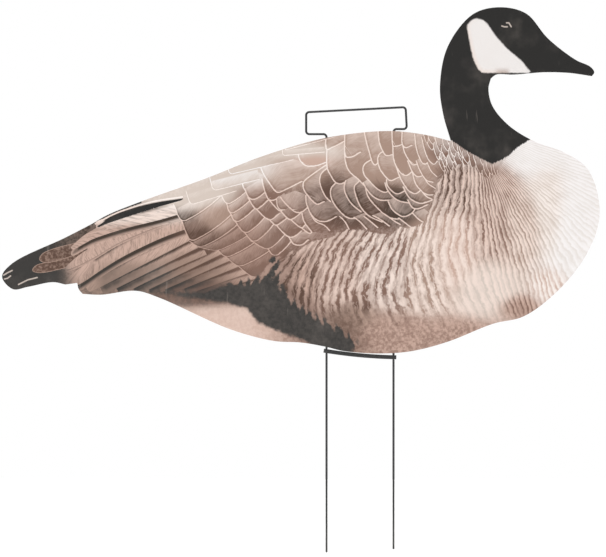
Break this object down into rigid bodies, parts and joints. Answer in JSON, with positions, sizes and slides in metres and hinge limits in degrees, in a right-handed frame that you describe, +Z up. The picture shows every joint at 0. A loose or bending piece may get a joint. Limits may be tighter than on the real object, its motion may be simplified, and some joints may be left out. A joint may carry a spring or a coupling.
{
  "type": "silhouette goose decoy",
  "caption": "Flat goose silhouette cut from printed twin-wall plastic sheet, sliding on a bent wire ground stake with a handle loop and held up by a rubber keeper tube.",
  "frame": {"origin": "midway between the two legs of the stake, at the soil line", "axes": "+X towards the bill, +Y towards the bird's left side through the thin sheet, +Z up"},
  "size_m": [0.7628, 0.0052, 0.696],
  "materials": {
    "stake_wire": "satin black powder coat on steel wire",
    "keeper_rubber": "matte black rubber tube",
    "sheet_plastic": "natural white extruded twin-wall polypropylene",
    "printed_film": "matte full-colour feather print"
  },
  "bodies": {
    "stake": {"wire_stake": "stake_wire"},
    "sheet": {"board": "sheet_plastic", "right_print": "printed_film", "left_print": "printed_film"},
    "keeper": {"keeper_tube": "keeper_rubber"}
  },
  "joints": [
    {"name": "sheet_slide", "type": "slide", "parent": "stake", "child": "sheet", "axis": [0, 0, -1], "range_m": [0, 0.105]},
    {"name": "keeper_slide", "type": "slide", "parent": "sheet", "child": "keeper", "axis": [0, 0, -1], "range_m": [0, 0.135]}
  ]
}
